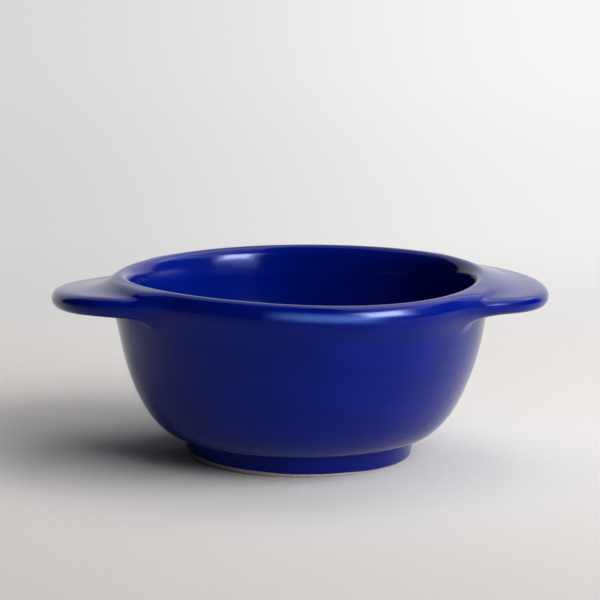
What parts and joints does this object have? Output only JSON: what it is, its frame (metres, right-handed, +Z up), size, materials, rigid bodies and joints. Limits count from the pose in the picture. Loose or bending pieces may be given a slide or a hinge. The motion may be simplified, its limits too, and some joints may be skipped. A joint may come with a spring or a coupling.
{
  "type": "lug soup bowl",
  "caption": "Round stoneware soup bowl with a rolled rim, a rounded belly, a foot ring and flat crescent lugs at opposite sides of the rim.",
  "frame": {"origin": "on the table at the middle of the foot ring", "axes": "+Z up through the bowl, X along the two lugs with the right lug at +X, front of the bowl towards -Y"},
  "size_m": [0.166, 0.127, 0.0615],
  "materials": {
    "stoneware": "fine unglazed stoneware, wiped",
    "slip": "fired slip",
    "liner_glaze": "glossy transparent cobalt blue",
    "cobalt_glaze": "glossy cobalt blue, thin over the edges"
  },
  "bodies": {
    "root": {"bowl_wall": "stoneware", "foot_ring": "stoneware", "foot_ring_slip": "slip", "left_lug": "stoneware", "left_lug_slip": "slip", "right_lug": "stoneware", "right_lug_slip": "slip", "inside_glaze": "liner_glaze", "outside_glaze": "cobalt_glaze", "left_lug_glaze": "cobalt_glaze", "right_lug_glaze": "cobalt_glaze", "foot_glaze": "cobalt_glaze", "base_glaze": "cobalt_glaze"}
  },
  "joints": []
}
